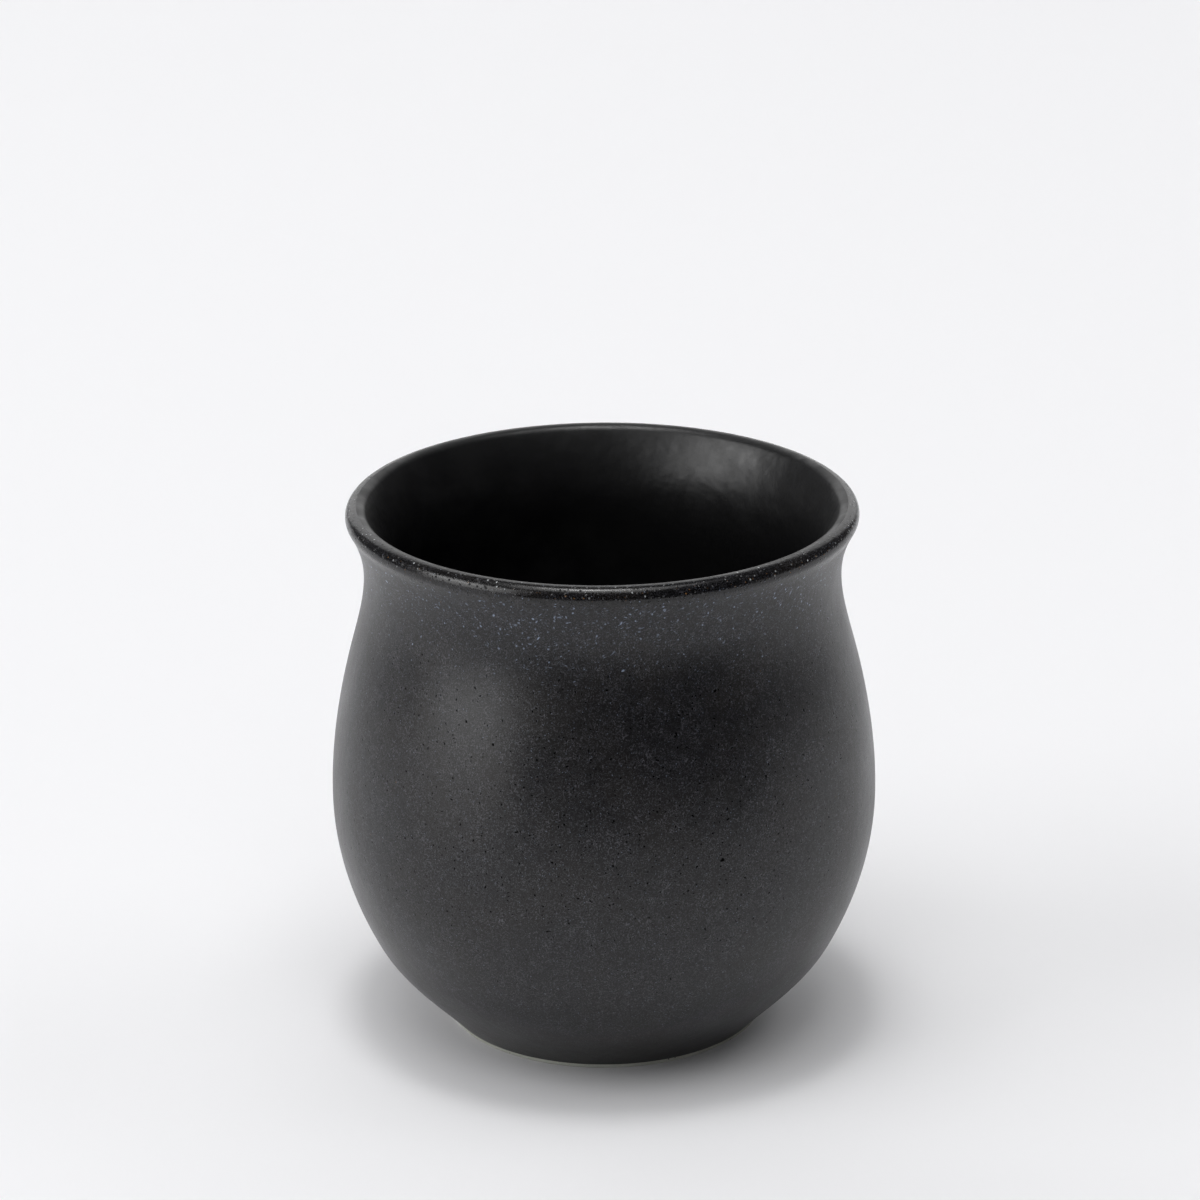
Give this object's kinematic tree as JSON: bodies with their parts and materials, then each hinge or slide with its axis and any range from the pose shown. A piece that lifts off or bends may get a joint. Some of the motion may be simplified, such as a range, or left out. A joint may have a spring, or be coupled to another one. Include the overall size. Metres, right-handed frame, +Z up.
{
  "type": "coffee tasting cup",
  "caption": "Handleless stoneware tasting cup with a round belly, drawn-in neck and flared lip, matt black speckled glaze and a bare clay foot ring.",
  "frame": {"origin": "centre of the foot ring, on the surface that the cup stands on", "axes": "+Z up along the axis that the cup is turned about, towards the mouth; +Y away from the viewer of the picture"},
  "size_m": [0.075, 0.075, 0.0745],
  "materials": {
    "bare_clay": "unglazed, dry and matt",
    "black_speckled_glaze": "satin matt with fine pale flecks and pinholes",
    "black_liner_glaze": "satin"
  },
  "bodies": {
    "root": {"clay_body": "bare_clay", "outer_glaze": "black_speckled_glaze", "inner_glaze": "black_liner_glaze", "foot_recess_glaze": "black_speckled_glaze"}
  },
  "joints": []
}
